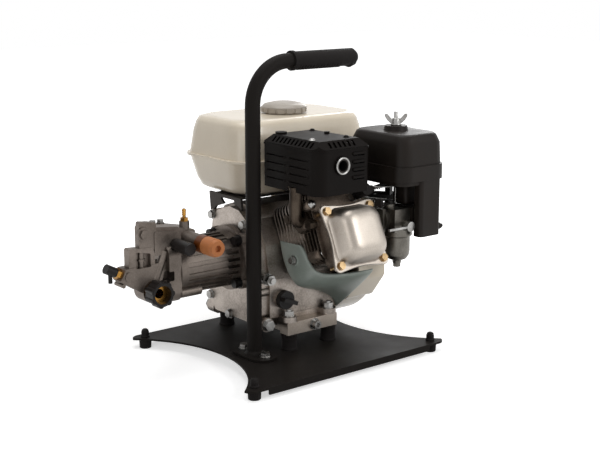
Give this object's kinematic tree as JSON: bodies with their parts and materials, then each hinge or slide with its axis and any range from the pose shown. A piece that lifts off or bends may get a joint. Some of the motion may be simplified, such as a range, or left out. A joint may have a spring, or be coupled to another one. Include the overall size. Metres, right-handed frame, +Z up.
{
  "type": "petrol pressure washer",
  "caption": "Petrol pressure washer: a tilted-cylinder engine and a direct-drive pump on a black base plate with one bent carrying handle.",
  "frame": {"origin": "centre of the part's box at ground level, under the feet", "axes": "+X along the crankshaft, from the pump towards the recoil starter; -Y towards the cylinder, the silencer and the pump's hose connections; +Z up"},
  "size_m": [0.4909, 0.3368, 0.4605],
  "materials": {
    "base_plate": "matt black-brown powder coat",
    "rubber_feet": "matt",
    "handle_flange": "matt black-brown powder coat",
    "handle_tube": "matt black-brown powder coat",
    "handle_grip": "matt",
    "handle_bolts": "zinc plated",
    "mount_bars": "as-cast satin",
    "isolators": "matt",
    "isolator_studs": "zinc plated",
    "bar_screws": "zinc plated",
    "crankcase": "as-cast satin",
    "crankcase_cover": "as-cast satin",
    "cover_bolts": "zinc plated",
    "drain_bolts": "zinc plated",
    "sensor_plug": "bright",
    "front_oil_cap": "matt moulded",
    "rear_oil_cap": "matt moulded",
    "crankshaft": "zinc plated",
    "flywheel": "as-cast",
    "starter_cup": "zinc plated",
    "cylinder_head": "as-cast satin",
    "rocker_cover": "as-cast satin",
    "rocker_cover_bolts": "zinc plated",
    "spark_plug": "zinc plated",
    "plug_boot": "matt",
    "exhaust_pipe": "as-cast",
    "muffler": "zinc plated",
    "muffler_guard": "satin black enamel",
    "carburetor": "as-cast satin",
    "carb_bowl": "as-cast satin",
    "choke_lever": "matt moulded",
    "fuel_lever": "zinc plated",
    "control_plate": "zinc plated",
    "throttle_lever": "satin black or cream powder coat",
    "air_cleaner_base": "matt moulded",
    "filter_element": "open foam",
    "air_cleaner_cover": "matt moulded",
    "cover_wing_nut": "zinc plated",
    "fuel_tank": "cream gloss enamel",
    "fuel_cap": "matt moulded",
    "fuel_cap_seal": "matt",
    "tank_bracket": "as-cast satin",
    "cylinder_shroud": "grey-green enamel",
    "fan_cover": "cream gloss enamel",
    "starter_cover": "matt moulded",
    "starter_grip": "matt moulded",
    "shroud_screws": "zinc plated",
    "engine_switch": "gloss",
    "pump_body": "as-cast satin",
    "pump_bolts": "satin black or cream powder coat",
    "pump_head": "as-cast satin",
    "valve_caps": "zinc plated",
    "relief_valve": "bare",
    "relief_cap": "matt moulded",
    "inlet_fitting": "bare",
    "inlet_collar": "matt moulded",
    "outlet_fitting": "matt moulded",
    "outlet_cap": "matt moulded",
    "unloader_knob": "matt moulded",
    "injector_barb": "bare"
  },
  "bodies": {
    "frame": {"base_plate": "base_plate", "rubber_feet": "rubber_feet", "handle_flange": "handle_flange", "handle_tube": "handle_tube", "handle_grip": "handle_grip", "handle_bolts": "handle_bolts", "mount_bars": "mount_bars", "isolators": "isolators", "isolator_studs": "isolator_studs", "bar_screws": "bar_screws", "crankcase": "crankcase", "crankcase_cover": "crankcase_cover", "cover_bolts": "cover_bolts", "drain_bolts": "drain_bolts", "sensor_plug": "sensor_plug", "cylinder_head": "cylinder_head", "rocker_cover": "rocker_cover", "rocker_cover_bolts": "rocker_cover_bolts", "spark_plug": "spark_plug", "plug_boot": "plug_boot", "exhaust_pipe": "exhaust_pipe", "muffler": "muffler", "muffler_guard": "muffler_guard", "carburetor": "carburetor", "carb_bowl": "carb_bowl", "control_plate": "control_plate", "air_cleaner_base": "air_cleaner_base", "filter_element": "filter_element", "fuel_tank": "fuel_tank", "tank_bracket": "tank_bracket", "cylinder_shroud": "cylinder_shroud", "fan_cover": "fan_cover", "starter_cover": "starter_cover", "shroud_screws": "shroud_screws", "pump_body": "pump_body", "pump_bolts": "pump_bolts", "pump_head": "pump_head", "valve_caps": "valve_caps", "relief_valve": "relief_valve", "relief_cap": "relief_cap", "inlet_fitting": "inlet_fitting", "outlet_fitting": "outlet_fitting", "injector_barb": "injector_barb"},
    "crank": {"crankshaft": "crankshaft", "flywheel": "flywheel", "starter_cup": "starter_cup"},
    "starter_handle": {"starter_grip": "starter_grip"},
    "switch": {"engine_switch": "engine_switch"},
    "choke": {"choke_lever": "choke_lever"},
    "fuel_valve": {"fuel_lever": "fuel_lever"},
    "throttle": {"throttle_lever": "throttle_lever"},
    "air_cover": {"air_cleaner_cover": "air_cleaner_cover"},
    "wing_nut": {"cover_wing_nut": "cover_wing_nut"},
    "tank_seal": {"fuel_cap_seal": "fuel_cap_seal"},
    "tank_cap": {"fuel_cap": "fuel_cap"},
    "oil_cap_front": {"front_oil_cap": "front_oil_cap"},
    "oil_cap_rear": {"rear_oil_cap": "rear_oil_cap"},
    "hose_collar": {"inlet_collar": "inlet_collar"},
    "outlet_cover": {"outlet_cap": "outlet_cap"},
    "pressure_knob": {"unloader_knob": "unloader_knob"}
  },
  "joints": [
    {"name": "crank_spin", "type": "hinge", "parent": "frame", "child": "crank", "pos_m": [0.07168, 0.03835, 0.151], "axis": [1, 0, 0], "continuous": true},
    {"name": "starter_pull", "type": "slide", "parent": "frame", "child": "starter_handle", "axis": [0, 1, 0], "range_m": [0, 0.5], "stiffness_N_per_m": 20, "springref_m": -0.3},
    {"name": "switch_turn", "type": "hinge", "parent": "frame", "child": "switch", "pos_m": [0.18198, -0.05965, 0.167], "axis": [1, 0, 0], "range_deg": [0, 60]},
    {"name": "choke_turn", "type": "hinge", "parent": "frame", "child": "choke", "pos_m": [0.16168, -0.11765, 0.235], "axis": [0, 0, 1], "range_deg": [0, 60]},
    {"name": "fuel_valve_turn", "type": "hinge", "parent": "frame", "child": "fuel_valve", "pos_m": [0.16968, -0.15225, 0.205], "axis": [0, -1, 0], "range_deg": [0, 70]},
    {"name": "throttle_turn", "type": "hinge", "parent": "frame", "child": "throttle", "pos_m": [0.15368, -0.04365, 0.2425], "axis": [0, 0, 1], "range_deg": [-40, 0]},
    {"name": "air_cover_lift", "type": "slide", "parent": "frame", "child": "air_cover", "axis": [0, 0, 1], "range_m": [0, 0.07]},
    {"name": "wing_nut_spin", "type": "hinge", "parent": "air_cover", "child": "wing_nut", "pos_m": [0.18568, -0.10265, 0.3483], "axis": [0, 0, 1], "continuous": true},
    {"name": "tank_cap_lift", "type": "slide", "parent": "frame", "child": "tank_seal", "axis": [0, 0, 1], "range_m": [0, 0.06]},
    {"name": "tank_cap_turn", "type": "hinge", "parent": "tank_seal", "child": "tank_cap", "pos_m": [0.10768, 0.06835, 0.366], "axis": [0, 0, 1], "range_deg": [0, 90]},
    {"name": "front_oil_cap_spin", "type": "hinge", "parent": "frame", "child": "oil_cap_front", "pos_m": [0.02568, -0.03565, 0.0935], "axis": [0, -1, 0], "continuous": true},
    {"name": "rear_oil_cap_spin", "type": "hinge", "parent": "frame", "child": "oil_cap_rear", "pos_m": [0.02568, 0.11235, 0.0935], "axis": [0, 1, 0], "continuous": true},
    {"name": "hose_collar_spin", "type": "hinge", "parent": "frame", "child": "hose_collar", "pos_m": [-0.17332, 0.00435, 0.131], "axis": [0, -1, 0], "continuous": true},
    {"name": "outlet_cap_pull", "type": "slide", "parent": "frame", "child": "outlet_cover", "axis": [0, -1, 0], "range_m": [0, 0.045]},
    {"name": "pressure_knob_turn", "type": "hinge", "parent": "frame", "child": "pressure_knob", "pos_m": [-0.13432, 0.00435, 0.193], "axis": [0, -1, 0], "range_deg": [0, 330]}
  ]
}
